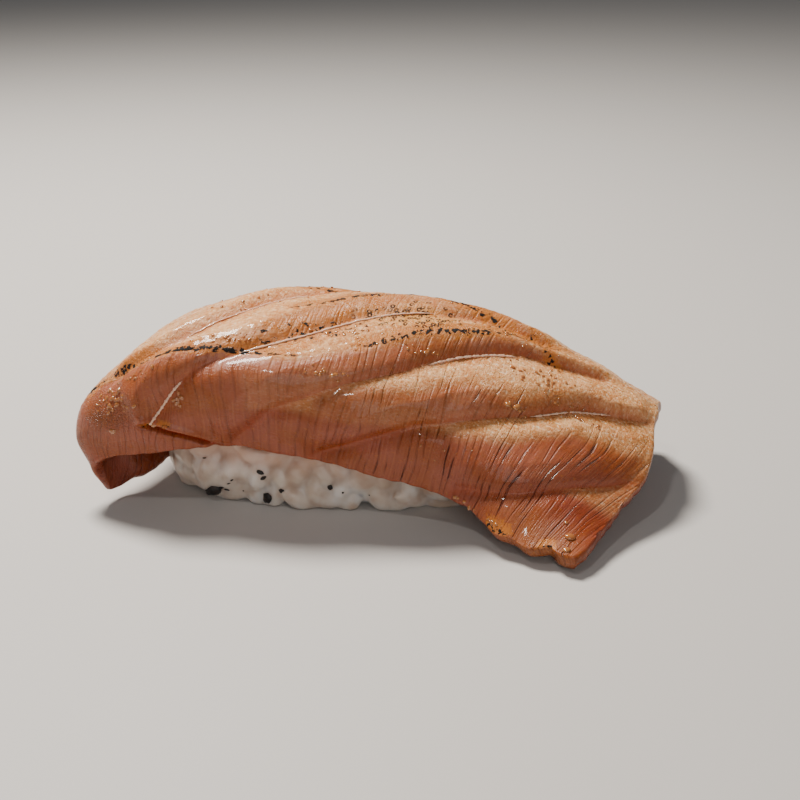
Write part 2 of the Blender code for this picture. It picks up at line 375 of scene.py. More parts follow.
def noise_at(points, size, seed=0.0):
    """Smooth noise at each point, about -1 to 1, with features size mm across."""
    shift = Vector((seed, -seed, 0.5 * seed))
    return np.array([noise.noise(Vector(p) / size + shift) for p in points])


def fibre_place(s, t):
    """Across the fibres and along them, in mm, so that a stretched pattern follows the fibres."""
    along, across = s * SLICE_LENGTH, t * SLICE_WIDTH
    return along - through(LEAN, s) * (across - LEAN_CENTRE), across


def top_of_slice(s, t):
    """Points of the finished top, the way it faces, and what the finish has to know there."""
    sheet, out = loft(TOP, s, t), facing(TOP, s, t)
    plan_mm = np.stack([s * SLICE_LENGTH, t * SLICE_WIDTH, 0 * s], 1)
    wander = noise_at(plan_mm, 5.0, 5.5) * SEAM_WANDER
    height, flesh, raw, nearest = bands(s, t + wander)
    dark, scorch, ringed = charred(s, t + wander)
    across_fibre, along_fibre = fibre_place(s, t)
    drift = noise_at(np.stack([across_fibre * 0.4, along_fibre * 0.12, 0 * s], 1), 1.0, 3.3)
    phase = (across_fibre / FIBRE_SPACING + 0.9 * drift) % 1.0
    pulled = np.exp(-(((phase - 0.5) / 0.20) ** 2))
    long_patches = np.stack([across_fibre * 0.5, along_fibre * 0.16, 0 * s], 1)
    patchy = ease((noise_at(long_patches, 1.0, 6.0) + 0.25) / 0.5)
    gape = ease((s - 0.55) / 0.12) * ease((0.52 - t) / 0.15)
    slit_line, slit_steep, slit_there = line_of(SLIT, s)
    slit_away = (t - slit_line) * SLICE_WIDTH / np.sqrt(1 + slit_steep**2)
    slit = slit_there * np.exp(-((slit_away / 0.5) ** 2))
    lip = slit_there * np.exp(-(((slit_away - 1.2) / 0.9) ** 2))
    to_rim = np.minimum(np.minimum(s, 1 - s) * SLICE_LENGTH, np.minimum(t, 1 - t) * SLICE_WIDTH)
    inland = 0.3 + 0.7 * ease(to_rim / 3.0)
    lit_top = (1 - flesh) * ease((t - 0.26) / 0.16)
    raised = height * inland + SWELL_WIDE * noise_at(sheet, 9.0, 3.1)
    raised += SWELL_NARROW * noise_at(sheet, 3.0, 7.7)
    raised -= (GROOVE + GROOVE_GAPING * gape * patchy) * pulled * (0.3 + 0.7 * flesh)
    raised += lit_top * (BLISTER * noise_at(sheet, 0.8, 9.0) + BLISTER_SMALL * noise_at(sheet, 0.45, 2.0))
    raised += LIP * lip - SLIT.furrow * slit
    notes = dict(flesh=flesh, raw=raw, seam=nearest, gape=gape, slit=slit)
    notes.update(char=dark, scorch=scorch, rings=ringed, plan=plan_mm)
    notes["fibre"] = np.stack([across_fibre, along_fibre, 0 * s], 1)
    return sheet + raised[:, None] * out, out, notes


print("fibres lie", FIBRE_SPACING, "mm apart")

# %% [markdown]
# Now the flat slab is bent. Its top goes to the finished top, its bottom to the smooth underside, and the
# rings of the rim between the two, bulged out as a cut edge of soft fish is. No knife leaves a straight
# edge in it, so the rim is ragged, and its front is torn into lobes near the right corner.

# %% Lay the slab over the rice
CORNER_ROUNDING = 0.028
RIM_BULGE = 0.55
RAGGED_FINE, RAGGED_WIDE = 0.20, 0.28
OFF_THE_FLOOR = 0.08
Lobe = namedtuple("Lobe", "place reach width")
LOBES = (
    Lobe(0.765, -0.35, 0.020),
    Lobe(0.835, 0.5, 0.022),
    Lobe(0.895, 0.45, 0.02),
    Lobe(0.935, -0.75, 0.014),
    Lobe(0.64, 0.35, 0.03),
)
a, b, depth = plan.T
a, b = a * (1 - CORNER_ROUNDING * abs(b) ** 12), b * (1 - CORNER_ROUNDING * abs(a) ** 12)
s, t = (a + 1) / 2, (b + 1) / 2
on_top = depth < 0.01
top, _, notes = top_of_slice(s, t)
sheet = loft(TOP, s, t)
point = top + depth[:, None] * (loft(UNDERSIDE, s, t) - top)
rim = np.maximum(abs(plan[:, 0]), abs(plan[:, 1])) > 0.999
outward = unit(sheet - loft(TOP, (0.97 * a + 1) / 2, (0.97 * b + 1) / 2) + 1e-9)
ragged = RAGGED_FINE * noise_at(sheet, 1.2, 2.0) + RAGGED_WIDE * noise_at(sheet, 4.5, 4.0)
point += (rim * (RIM_BULGE * np.sin(np.pi * depth) + ragged))[:, None] * outward
lobes = sum(lobe.reach * np.exp(-(((s - lobe.place) / lobe.width) ** 2)) for lobe in LOBES)
near_rim = ease((0.07 - t) / 0.07)
point += (lobes * near_rim)[:, None] * unit(loft(TOP, s, 0 * s) - loft(TOP, s, 0 * s + 0.04))
point[:, 2] = np.maximum(point[:, 2], OFF_THE_FLOOR)
salmon_mesh.vertices.foreach_set("co", (point * MM).ravel())
salmon_mesh.update()
print("slice, mm:", point.min(0).round(1), "to", point.max(0).round(1))

# %% [markdown]
# ## Notes for the finish, written on the points
# The finish has to know where the seams, the char and the raw flesh are. Painting a picture would tie it
# to one view, so each point of the mesh carries the numbers instead, and the finish reads them by name.


# %% Write the notes
def note(mesh, name, values):
    """Store one number, or three, for each point of the mesh."""
    kind, key = ("FLOAT", "value") if values.ndim == 1 else ("FLOAT_VECTOR", "vector")
    made = mesh.attributes.new(name, kind, "POINT")
    made.data.foreach_set(key, values.astype(np.float32).ravel())


def shade_smooth(mesh):
    for face in mesh.polygons:
        face.use_smooth = True


dark_corner = ease((s - 0.86) / 0.08) * ease((0.24 - abs(t - 0.17)) / 0.12)
notes["raw"] = np.maximum(notes["raw"], 0.75 * dark_corner)
raw_all = np.where(depth > 0.35, 0.85, np.maximum(notes["raw"], np.clip(1.15 * notes["slit"], 0, 1)))
border = 0.6 + 7.0 * ease((0.24 - s) / 0.12)
front_left = ease((0.42 - t) * SLICE_WIDTH / border + 0.5) * ease((0.53 - s) / 0.06)
left_end = ease((0.13 - s) / 0.06)
flesh_all = np.maximum(notes["flesh"], np.maximum(0.95 * front_left, 0.6 * left_end))
far_right = 0.65 * ease((s - 0.90) / 0.07) * ease((0.52 - t) / 0.15)
flesh_all = np.clip(np.maximum(flesh_all, np.maximum(far_right, ease((0.30 - t) / 0.12))), 0, 1)
tip = ease((s - 0.74) / 0.18) * ease((0.16 - t) / 0.16) * ease((1.02 - s) / 0.06)
glossy = np.exp(-(((s - 0.27) / 0.05) ** 2) - ((t - 0.27) / 0.09) ** 2)
notes["plan"][:, 2] = notes["fibre"][:, 2] = 3.0 * depth
note(salmon_mesh, "flesh", np.where(on_top, flesh_all, 1.0))
note(salmon_mesh, "raw", raw_all)
note(salmon_mesh, "tip", tip)
note(salmon_mesh, "glossy", glossy)
note(salmon_mesh, "seam", np.where(on_top, notes["seam"], NO_SEAM_NEAR))
for name in ("char", "scorch", "rings", "gape", "slit"):
    note(salmon_mesh, name, np.where(on_top, notes[name], 0.0))
for name in ("plan", "fibre"):
    note(salmon_mesh, name, notes[name])
shade_smooth(salmon_mesh)
print("share of the top that is flesh:", round(float(flesh_all[on_top].mean()), 2))

# %% [markdown]
# ## Building a finish from nodes
# A finish is a small tree of nodes that ends in one shader. It can be wired by hand in the shader
# editor, but a tree made in code can be read and made again. Each helper makes one kind of node.


# %% Node helpers
def linear(shade):
    """A colour as a web shade, such as d8a070, turned into the linear numbers that a shader takes."""
    parts = [int(shade[i : i + 2], 16) / 255 for i in (0, 2, 4)]
    return tuple(c / 12.92 if c <= 0.04045 else ((c + 0.055) / 1.055) ** 2.4 for c in parts) + (1.0,)


class Finish:
    """One material's node tree, with short ways to add to it."""

    def __init__(self, name):
        self.material = bpy.data.materials.new(name)
        self.material.use_nodes = True
        self.tree = self.material.node_tree
        self.shader = self.tree.nodes["Principled BSDF"]

    def set(self, socket, value):
        """A node's output is linked, and a plain number or colour is set on the socket itself."""
        if isinstance(value, bpy.types.NodeSocket):
            self.tree.links.new(value, socket)
        else:
            socket.default_value = value

    def add(self, kind, out=0, **given):
        node = self.tree.nodes.new(kind)
        for name, value in given.items():
            if hasattr(node, name):
                setattr(node, name, value)
            else:
                self.set(node.inputs[name.replace("_", " ")], value)
        return node.outputs[out]

    def read(self, name, out="Fac"):
        return self.add("ShaderNodeAttribute", out, attribute_name=name)

    def sum(self, operation, *values):
        node = self.tree.nodes.new("ShaderNodeMath")
        node.operation = operation
        for socket, value in zip(node.inputs, values):
            self.set(socket, value)
        return node.outputs[0]

    def times(self, first, second):
        return self.sum("MULTIPLY", first, second)

    def speckle(self, vector, scale, detail=2.0, roughness=0.5, stretch=None):
        """Noise, 0 to 1. stretch scales the three directions of its vector first."""
        if stretch:
            node = self.tree.nodes.new("ShaderNodeVectorMath")
            node.operation = "MULTIPLY"
            self.set(node.inputs[0], vector)
            self.set(node.inputs[1], stretch)
            vector = node.outputs[0]
        given = dict(Vector=vector, Scale=scale, Detail=detail, Roughness=roughness)
        return self.add("ShaderNodeTexNoise", "Fac", **given)

    def step(self, value, low, high, to_low=0.0, to_high=1.0):
        """Eases from to_low to to_high while the value goes from low to high."""
        node = self.tree.nodes.new("ShaderNodeMapRange")
        node.interpolation_type = "SMOOTHSTEP"
        for socket, v in zip(node.inputs, (value, low, high, to_low, to_high)):
            self.set(socket, v)
        return node.outputs[0]

    def mix(self, share, first, second):
        node = self.tree.nodes.new("ShaderNodeMix")
        node.data_type = "RGBA"
        self.set(node.inputs[0], share)
        for socket, colour in zip((node.inputs[6], node.inputs[7]), (first, second)):
            self.set(socket, linear(colour) if isinstance(colour, str) else colour)
        return node.outputs[2]

    def bump(self, height, distance, strength):
        node = self.tree.nodes.new("ShaderNodeBump")
        self.set(node.inputs["Strength"], strength)
        self.set(node.inputs["Distance"], distance)
        self.set(node.inputs["Height"], height)
        return node.outputs[0]

    def finish(self, **sockets):
        for name, value in sockets.items():
            self.set(self.shader.inputs[name.replace("_", " ")], value)
        return self.material


print("a toasted tan, in a shader's numbers:", [round(c, 3) for c in linear("d99455")])

# %% [markdown]
# ## The finish of the seared slice
# It is built as the torch built it: the flesh first, then the cooked tops, the char, and the wet fat. One
# finish holds them all, because they run into each other. The flesh is a cloudy pink-brown, redder in
# the furrows and where the slice is raw, and more amber at the drawn-out tip, where the slice is thin.

# %% Mix the seared salmon
salmon = Finish("seared_salmon")
where = salmon.read("plan", "Vector")
fibre = salmon.read("fibre", "Vector")
is_flesh, is_char, is_raw = salmon.read("flesh"), salmon.read("char"), salmon.read("raw")
is_tip, seam_away = salmon.read("tip"), salmon.read("seam")

cloudy = salmon.speckle(where, 0.14, 3.0)
mottled = salmon.speckle(where, 0.55, 3.0)
flesh_colour = salmon.mix(salmon.step(cloudy, 0.35, 0.68), "92481f", "9c533c")
flesh_colour = salmon.mix(salmon.step(mottled, 0.45, 0.75, 0.0, 0.35), flesh_colour, "8a4019")
flesh_colour = salmon.mix(salmon.times(is_raw, 0.75), flesh_colour, "74250f")
flesh_colour = salmon.mix(salmon.times(is_tip, 0.75), flesh_colour, "8e5122")
print("nodes for the flesh:", len(salmon.tree.nodes))

# %% [markdown]
# The fibres show as thin grooves with paler threads between, and the grooves are darkened with painted shade.
# A wave texture would rule them too
# evenly, so they are combed: the distance across the fibres, swayed by slow noise, is cut into turns, and
# each turn's middle is a line. Noise stretched along the fibres makes a line come and go. On the right,
# where the heat pulled the fibres apart, some lines open into slits that are filled with dark painted shade.

# %% Draw the fibres
across_fibre_at = salmon.add("ShaderNodeSeparateXYZ", "X", Vector=fibre)
sway = salmon.speckle(fibre, 1.0, 1.0, 0.5, stretch=(0.4, 0.12, 0.3))
strength = salmon.speckle(fibre, 1.0, 2.0, 0.5, stretch=(1.3, 0.10, 0.3))
patches = salmon.speckle(fibre, 1.0, 1.0, 0.5, stretch=(0.35, 0.20, 0.3))


def comb(spacing, sway_by, wide):
    """Fine lines between the fibres, spacing mm apart and wide times that across: 1 on a line, else 0."""
    turns = salmon.sum("MULTIPLY_ADD", sway, sway_by, salmon.sum("DIVIDE", across_fibre_at, spacing))
    off = salmon.sum("ABSOLUTE", salmon.sum("SUBTRACT", salmon.sum("FRACT", turns), 0.5))
    return salmon.step(off, wide, 0.02)


soft_lines = salmon.times(comb(FIBRE_SPACING, 1.9, 0.20), salmon.step(strength, 0.34, 0.62))
fine_lines = salmon.times(comb(0.37, 3.0, 0.3), salmon.step(patches, 0.42, 0.6, 0.0, 0.5))
gaping = salmon.times(salmon.read("gape"), salmon.step(patches, 0.47, 0.56))
gaping = salmon.times(gaping, salmon.step(strength, 0.46, 0.6))
shaded_gaps = salmon.times(comb(FIBRE_SPACING, 1.9, 0.16), gaping)
fading = salmon.step(is_flesh, 0.05, 0.8)
soft_lines, fine_lines = salmon.times(soft_lines, 0.34), salmon.times(fine_lines, 0.25)
shaded_grooves = salmon.times(salmon.sum("MAXIMUM", soft_lines, fine_lines), fading)
pale_share = salmon.step(strength, 0.55, 0.38, 0.0, 0.16)
pale_threads = salmon.times(comb(FIBRE_SPACING * 0.5, 1.6, 0.3), pale_share)
flesh_colour = salmon.mix(pale_threads, flesh_colour, "c27c50")
# Painted shade: the grooves between the fibres are darkened, and the slits that opened on the right are
# darkened more.
flesh_colour = salmon.mix(shaded_grooves, flesh_colour, "5a220c")
flesh_colour = salmon.mix(salmon.times(shaded_gaps, 0.9), flesh_colour, "4c1204")
flesh_colour = salmon.mix(salmon.step(salmon.read("slit"), 0.25, 0.8), flesh_colour, "c03c20")
print("nodes with the fibres:", len(salmon.tree.nodes))

# %% [markdown]
# The cooked tops are cream to tan and grainy. Two shades are mixed in soft clouds, then a finer noise sets
# dark grains on them and pale ones between. The note called flesh says where the tops end, and a thin
# red-brown shade lies along each seam, where the raw side begins.

# %% Toast the tops and mix them in
grain = salmon.speckle(where, 2.6, 4.0, 0.65)
fine_grain = salmon.speckle(where, 6.5, 2.0, 0.6)
toasted = salmon.speckle(where, 0.42, 3.0, 0.6)
top_colour = salmon.mix(salmon.step(toasted, 0.36, 0.62), "efb47a", "d99455")
top_colour = salmon.mix(salmon.step(grain, 0.48, 0.64, 0.0, 0.62), top_colour, "b96c2b")
top_colour = salmon.mix(salmon.step(grain, 0.47, 0.32, 0.0, 0.8), top_colour, "ffe6c0")
shared = salmon.mix(is_flesh, top_colour, flesh_colour)
near_seam = salmon.sum("ABSOLUTE", seam_away)
shared = salmon.mix(salmon.step(near_seam, 0.9, 0.1, 0.0, 0.35), shared, "a84e2c")
print("nodes with the tops:", len(salmon.tree.nodes))

# %% [markdown]
# Char is fish burnt to carbon: dull black clots in an amber halo. A smooth black line along an edge would
# look drawn on, so the note says only how hot a place got, and cells and noise decide where it turned
# black. A blister burns at its rim first, so there some of the cells get a black ring.

# %% Char it
smoulder = salmon.speckle(where, 2.0, 3.0, 0.65)


def cells(scale, out):
    """Uneven cells: the distance to a cell's middle, or the cell's own colour."""
    given = dict(voronoi_dimensions="2D", Vector=where, Scale=scale, Randomness=1.0)
    return salmon.add("ShaderNodeTexVoronoi", out, **given)


clots = salmon.times(cells(1.9, "Distance"), 0.9)
heat = salmon.sum("SUBTRACT", salmon.times(is_char, 1.18), clots)
heat = salmon.sum("MULTIPLY_ADD", salmon.sum("SUBTRACT", smoulder, 0.5), 4.4, heat)
singed = salmon.sum("MULTIPLY_ADD", salmon.sum("SUBTRACT", smoulder, 0.5), 1.6, salmon.read("scorch"))
halo = salmon.step(singed, 0.10, 0.55)
black = salmon.times(salmon.step(heat, 0.42, 0.56), salmon.step(is_char, 0.12, 0.3))
from_rim = salmon.sum("ABSOLUTE", salmon.sum("SUBTRACT", cells(1.5, "Distance"), 0.27))
picked = salmon.add("ShaderNodeSeparateXYZ", "X", Vector=cells(1.5, "Color"))
here = salmon.times(salmon.read("rings"), salmon.sum("ADD", picked, 0.25))
ring_heat = salmon.times(salmon.step(here, 0.30, 0.45), salmon.step(smoulder, 0.38, 0.48))
rings = salmon.times(salmon.step(from_rim, 0.15, 0.08), ring_heat)
warmed = salmon.times(salmon.read("rings"), salmon.sum("ADD", smoulder, 0.1))
shared = salmon.mix(salmon.step(warmed, 0.1, 0.55, 0.0, 0.7), shared, "dc9648")
shared = salmon.mix(salmon.times(halo, 0.8), shared, "bd7026")
black = salmon.sum("MAXIMUM", black, salmon.times(rings, 0.92))
shared = salmon.mix(black, shared, "0f0704")
print("nodes with the char:", len(salmon.tree.nodes))

# %% [markdown]
# Fat keeps all of it wet, apart from the char. Low roughness in patches and a thin clear coat make the
# wetness, and the bump below breaks its light into glints: grain on the tops, less of it on the flesh,
# lines sunk between the fibres, and small pearls where the fat boiled up. Light enters the flesh a
# little and comes out redder, which is the subsurface part.

# %% Wet it and close the finish
GRAIN_DEPTH = 0.30 * MM
wet = salmon.speckle(where, 0.5, 2.0)
skin_share = salmon.step(is_flesh, 0.0, 0.9, 1.0, 0.28)
skin = salmon.times(salmon.sum("MULTIPLY_ADD", fine_grain, 0.6, grain), skin_share)
skin = salmon.sum("MULTIPLY_ADD", black, 0.7, skin)
skin = salmon.sum("SUBTRACT", skin, salmon.times(salmon.sum("MAXIMUM", shaded_grooves, shaded_gaps), 0.9))
pearls = salmon.times(salmon.step(cells(2.6, "Distance"), 0.42, 0.1), salmon.read("glossy"))
skin = salmon.sum("MULTIPLY_ADD", pearls, 0.9, skin)
seared_salmon = salmon.finish(
    Base_Color=shared,
    Roughness=salmon.sum("MULTIPLY_ADD", black, 0.4, salmon.step(wet, 0.35, 0.65, 0.44, 0.24)),
    Normal=salmon.bump(skin, GRAIN_DEPTH, 0.9),
    Subsurface_Weight=0.25,
    Subsurface_Radius=(1.0, 0.42, 0.25),
    Subsurface_Scale=1.1 * MM,
    Coat_Weight=salmon.step(black, 0.0, 0.6, 0.22, 0.0),
    Coat_Roughness=0.07,
    IOR=1.36,
)
salmon_mesh.materials.append(seared_salmon)
seared_slice = put_in_scene("seared_slice", salmon_mesh)
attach(seared_slice, "root")
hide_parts("salmon_slice")
print("nodes in the salmon finish:", len(salmon.tree.nodes))

# %% [markdown]
# ## Fat threads and beads of oil
# The torch melts the fat. Along the seams it stands as a thin pale thread, and on the tops it gathers in
# beads, most of them under half a millimetre wide, which is where the sparkle comes from. Painted
# highlights would stay put when the nigiri turns, so the threads are thin tubes laid in the furrows, and
# every bead is a small real dome. Both are placed by their share of the slice's length and width, on its
# finished top.

# %% Helpers for pieces made of many shapes
TUBE_SIDES = 8
TUBE_FLATTENED = 0.7


def join_up(name, shapes):
    """One mesh from many sets of points (in mm) and faces."""
    points, faces, start = [], [], 0
    for some, theirs in shapes:
        points.append(some)
        faces += [[start + i for i in f] for f in theirs]
        start += len(some)
    made = bpy.data.meshes.new(name)
    made.from_pydata(list(map(tuple, np.concatenate(points) * MM)), [], faces)
    shade_smooth(made)
    return put_in_scene(name, made)


def tube(path, radii, out):
    """A closed tube along path, in mm, flattened a little towards the surface it lies on."""
    ahead = unit(np.gradient(path, axis=0))
    side = unit(np.cross(ahead, out))
    up = np.cross(side, ahead)
    turn = np.linspace(0, 2 * np.pi, TUBE_SIDES, endpoint=False)[None, :, None]
    ring = np.cos(turn) * side[:, None] + TUBE_FLATTENED * np.sin(turn) * up[:, None]
    points = path[:, None] + radii[:, None, None] * ring
    faces = []
    for here in range(0, (len(path) - 1) * TUBE_SIDES, TUBE_SIDES):
        ahead_of_it = here + TUBE_SIDES
        for j in range(TUBE_SIDES):
            k = (j + 1) % TUBE_SIDES
            faces.append([here + j, here + k, ahead_of_it + k, ahead_of_it + j])
    last = (len(path) - 1) * TUBE_SIDES
    faces += [list(range(TUBE_SIDES))[::-1], [last + j for j in range(TUBE_SIDES)]]
    return points.reshape(-1, 3), faces


print("sides of a tube:", TUBE_SIDES)

# %% Lay the fat threads
THREAD_POINTS = 90
THREAD_LIFT = 0.06
Thread = namedtuple("Thread", "seam start end radius")
THREADS = (
    Thread(3, 0.405, 0.505, 0.13),
    Thread(4, 0.322, 0.410, 0.16),
    Thread(4, 0.475, 0.672, 0.13),
    Thread(5, 0.680, 0.792, 0.16),
    Thread(6, 0.826, 0.935, 0.13),
    Thread(0, 0.28, 0.50, 0.12),
    Thread(1, 0.20, 0.44, 0.12),
    Thread(2, 0.64, 0.84, 0.12),
)
laid = []
for i, thread in enumerate(THREADS):
    s = np.linspace(thread.start, thread.end, THREAD_POINTS)
    t = line_of(SEAMS[thread.seam], s)[0]
    on, out, _ = top_of_slice(s, t)
    beaded = 1 + 0.45 * np.sin(s * 900 + i) * np.sin(s * 310 + 2 * i)
    taper = np.clip(12 * np.minimum(s - thread.start, thread.end - s) / (thread.end - thread.start), 0.12, 1)
    laid.append(tube(on + THREAD_LIFT * out, thread.radius * beaded * taper, out))
fat_threads = join_up("fat_threads", laid)
fat = Finish("melted_fat")
fat_finish = fat.finish(
    Base_Color=fat.mix(fat.speckle(fat.add("ShaderNodeTexCoord", "Object"), 500.0), "e2a68c", "f0cdb4"),
    Roughness=0.16,
    Subsurface_Weight=0.4,
    Subsurface_Radius=(1.0, 0.6, 0.4),
    Subsurface_Scale=0.5 * MM,
    Coat_Weight=0.8,
    Coat_Roughness=0.04,
    IOR=1.45,
)
print("threads:", len(THREADS))

# %% [markdown]
# The beads lie in patches, thick where fat boiled out of a ridge and few on the flesh. A particle system
# would scatter them evenly, so each patch is a row of a table: its middle, its spread along and across
# in mm, how many beads it holds, and how large they are.

# %% Table of the beads
Beads = namedtuple("Beads", "s t along across count size")
BEADS = (
    Beads(0.295, 0.32, 3.0, 3.0, 46, 0.16),
    Beads(0.26, 0.163, 0.8, 0.8, 5, 0.20),
    Beads(0.389, 0.231, 0.7, 1.2, 9, 0.20),
    Beads(0.335, 0.140, 0.9, 0.5, 6, 0.20),
    Beads(0.36, 0.36, 2.0, 1.6, 12, 0.14),
    Beads(0.455, 0.455, 3.6, 0.6, 24, 0.14),
    Beads(0.46, 0.61, 3.2, 1.6, 20, 0.13),
    Beads(0.57, 0.50, 4.0, 1.2, 22, 0.14),
    Beads(0.56, 0.37, 2.2, 0.8, 16, 0.15),
    Beads(0.67, 0.47, 3.2, 0.5, 16, 0.14),
    Beads(0.829, 0.50, 4.6, 1.8, 60, 0.13),
    Beads(0.80, 0.388, 1.6, 0.4, 9, 0.19),
    Beads(0.89, 0.455, 3.4, 0.6, 26, 0.14),
    Beads(0.76, 0.60, 5.0, 1.5, 26, 0.12),
    Beads(0.70, 0.16, 6.0, 3.0, 12, 0.11),
    Beads(0.78, 0.012, 6.5, 0.3, 14, 0.15),
    Beads(0.55, 0.82, 16.0, 5.0, 70, 0.13),
    Beads(0.30, 0.88, 4.0, 1.4, 26, 0.13),
    Beads(0.76, 0.90, 4.0, 1.4, 26, 0.13),
    Beads(0.943, 0.113, 0.2, 0.2, 1, 0.34),
    Beads(0.960, 0.075, 0.1, 0.1, 1, 0.46),
    Beads(0.970, 0.025, 0.2, 0.2, 2, 0.26),
)
print("patches of beads:", len(BEADS))

# %% Set down the beads of oil
BEAD_HEIGHT = 0.55
BEAD_LIFT = 0.1
rng = np.random.default_rng(11)


def dome(length, width, height):
    """A bead: a flattened ball, its long axis along X, in mm."""
    bm = bmesh.new()
    bmesh.ops.create_icosphere(bm, subdivisions=2, radius=1)
    points = np.array([v.co for v in bm.verts]) * (length, width, height)
    faces = [[v.index for v in f.verts] for f in bm.faces]
    bm.free()
    return points, faces


def set_upright(points, place, out, turn):
    """Points turned about their own Z, stood up along out, and moved to place."""
    stand = Vector(out).to_track_quat("Z", "Y").to_matrix() @ Euler((0, 0, turn)).to_matrix()
    return points @ np.array(stand).T + place


places, sizes = [], []
for patch in BEADS:
    off = rng.normal(0, 0.5, (patch.count, 2)) * (patch.along, patch.across)
    places.append(np.array([patch.s, patch.t]) + off / (SLICE_LENGTH, SLICE_WIDTH))
    sizes.append(patch.size * np.clip(rng.lognormal(0, 0.35, patch.count), 0.5, 1.8))
places = np.clip(np.concatenate(places), 0.004, 0.996)
on, out, _ = top_of_slice(*places.T)
dropped = []
for place, way, size in zip(on, out, np.concatenate(sizes)):
    points, faces = dome(size * rng.uniform(1.0, 1.7), size, BEAD_HEIGHT * size)
    dropped.append((set_upright(points, place + BEAD_LIFT * size * way, way, rng.uniform(0, np.pi)), faces))
oil_beads = join_up("oil_beads", dropped)
oil = Finish("oil")
oil_finish = oil.finish(
    Base_Color=oil.mix(oil.speckle(oil.add("ShaderNodeTexCoord", "Object"), 300.0), "a8592c", "d09050"),
    Roughness=0.05,
    Transmission_Weight=0.3,
    IOR=1.46,
    Coat_Weight=1.0,
    Coat_Roughness=0.03,
)
for piece, finish in ((fat_threads, fat_finish), (oil_beads, oil_finish)):
    piece.data.materials.append(finish)
    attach(piece, "root")
print("beads:", len(places))

# %% [markdown]
# ## The rice
# Sushi rice is short and plump, 5 to 6 mm long and 3 mm thick once cooked, and sticky, so its grains melt
# into each other at the touching places. Filling the whole ball with grains would waste most of them out
# of sight, so it is made in two layers: a core a little smaller than the measured ball, and whole grains
# bedded in its side wherever the ball can be seen.

# %% Make the rice core
CORE_INSET = 0.85
CORE_ROUNDS = 2


def ease_out(bm, rounds):
    """Soften a mesh by moving each point halfway to the middle of its neighbours, rounds times."""
    every_way = dict(use_axis_x=True, use_axis_y=True, use_axis_z=True)
    for _ in range(rounds):
        bmesh.ops.smooth_vert(bm, verts=bm.verts, factor=0.5, **every_way)


rice_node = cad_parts["rice"]
core_mesh = rice_node.data.copy()
core_mesh.name = "rice_core"
core_mesh.materials.clear()
bm = bmesh.new()
bm.from_mesh(core_mesh)
bmesh.ops.remove_doubles(bm, verts=bm.verts, dist=0.01 * MM)
bm.normal_update()
inset = [v.co - v.normal * CORE_INSET * MM for v in bm.verts]
for vert, place in zip(bm.verts, inset):
    vert.co = place
ease_out(bm, CORE_ROUNDS)
bm.to_mesh(core_mesh)
bm.free()
shade_smooth(core_mesh)
rice_core = put_in_scene("rice_core", core_mesh)
print("core points:", len(core_mesh.vertices))

# %% [markdown]
# A grain is a rounded rod, a little bent, plumper at one end, with a shallow groove along one side. One
# grain is made from a sphere by rule, and each copy is scaled and bent anew.

# %% Shape one grain
GRAIN_LENGTH = 5.6
GRAIN_WIDTH = 2.8
GRAIN_THICKNESS = 2.4


def grain_shape(length, width, thick, bend):
    """Points and faces of one cooked grain, its length along X, in mm."""
    bm = bmesh.new()
    bmesh.ops.create_uvsphere(bm, u_segments=18, v_segments=14, radius=1)
    points = np.array([v.co for v in bm.verts])
    points = points[:, [2, 1, 0]]
    faces = [[v.index for v in f.verts] for f in bm.faces]
    bm.free()
    x, y, z = points.T
    plump = (1 - 0.10 * x) * (1 + 0.10 * np.cos(2.6 * x))
    seam = 1 - 0.05 * np.exp(-((z / 0.25) ** 2)) * (y > 0)
    long = np.sign(x) * abs(x) ** 0.92 * length / 2
    placed = np.stack([long, y * plump * seam * width / 2, z * plump * thick / 2], 1)
    placed[:, 1] += bend * (x**2 - 0.4)
    return placed, faces


print("one grain:", len(grain_shape(GRAIN_LENGTH, GRAIN_WIDTH, GRAIN_THICKNESS, 0.4)[0]), "points")

# %% [markdown]
# Grains are placed on the measured ball's side, one by one, and a new one is only set down where it keeps
# clear of those before it. A physics drop would find a heap of its own, and this ball was pressed by
# hand, so the places are drawn over its faces, with a chance that follows their area.

# %% Find places for the grains
GRAIN_TRIES = 6000
GRAIN_SPACING = 2.05
STEEPEST_UP, STEEPEST_DOWN = 0.55, -0.75
LOWEST, HIGHEST = 0.25, 13.5
rng = np.random.default_rng(7)
rice_node.data.calc_loop_triangles()
corner = np.array([v.co for v in rice_node.data.vertices]) / MM
tris = np.array([tri.vertices[:] for tri in rice_node.data.loop_triangles])
p0, p1, p2 = corner[tris[:, 0]], corner[tris[:, 1]], corner[tris[:, 2]]
cross = np.cross(p1 - p0, p2 - p0)
area = np.linalg.norm(cross, axis=1) / 2
normal = cross / (2 * area[:, None] + 1e-12)
centre = (p0 + p1 + p2) / 3
shown = (normal[:, 2] < STEEPEST_UP) & (normal[:, 2] > STEEPEST_DOWN)
shown &= (centre[:, 2] > LOWEST) & (centre[:, 2] < HIGHEST)
chance = np.where(shown, area, 0)
picks = rng.choice(len(tris), GRAIN_TRIES, p=chance / chance.sum())
mix_a, mix_b = rng.random((2, GRAIN_TRIES))
swap = mix_a + mix_b > 1
mix_a, mix_b = np.where(swap, 1 - mix_a, mix_a), np.where(swap, 1 - mix_b, mix_b)
spots_on = p0[picks] + mix_a[:, None] * (p1 - p0)[picks] + mix_b[:, None] * (p2 - p0)[picks]
seats, outs = [], []
for place, out in zip(spots_on, normal[picks]):
    if seats and min(np.linalg.norm(np.array(seats) - place, axis=1)) < GRAIN_SPACING:
        continue
    seats.append(place)
    outs.append(out)
print("places for grains:", len(seats))

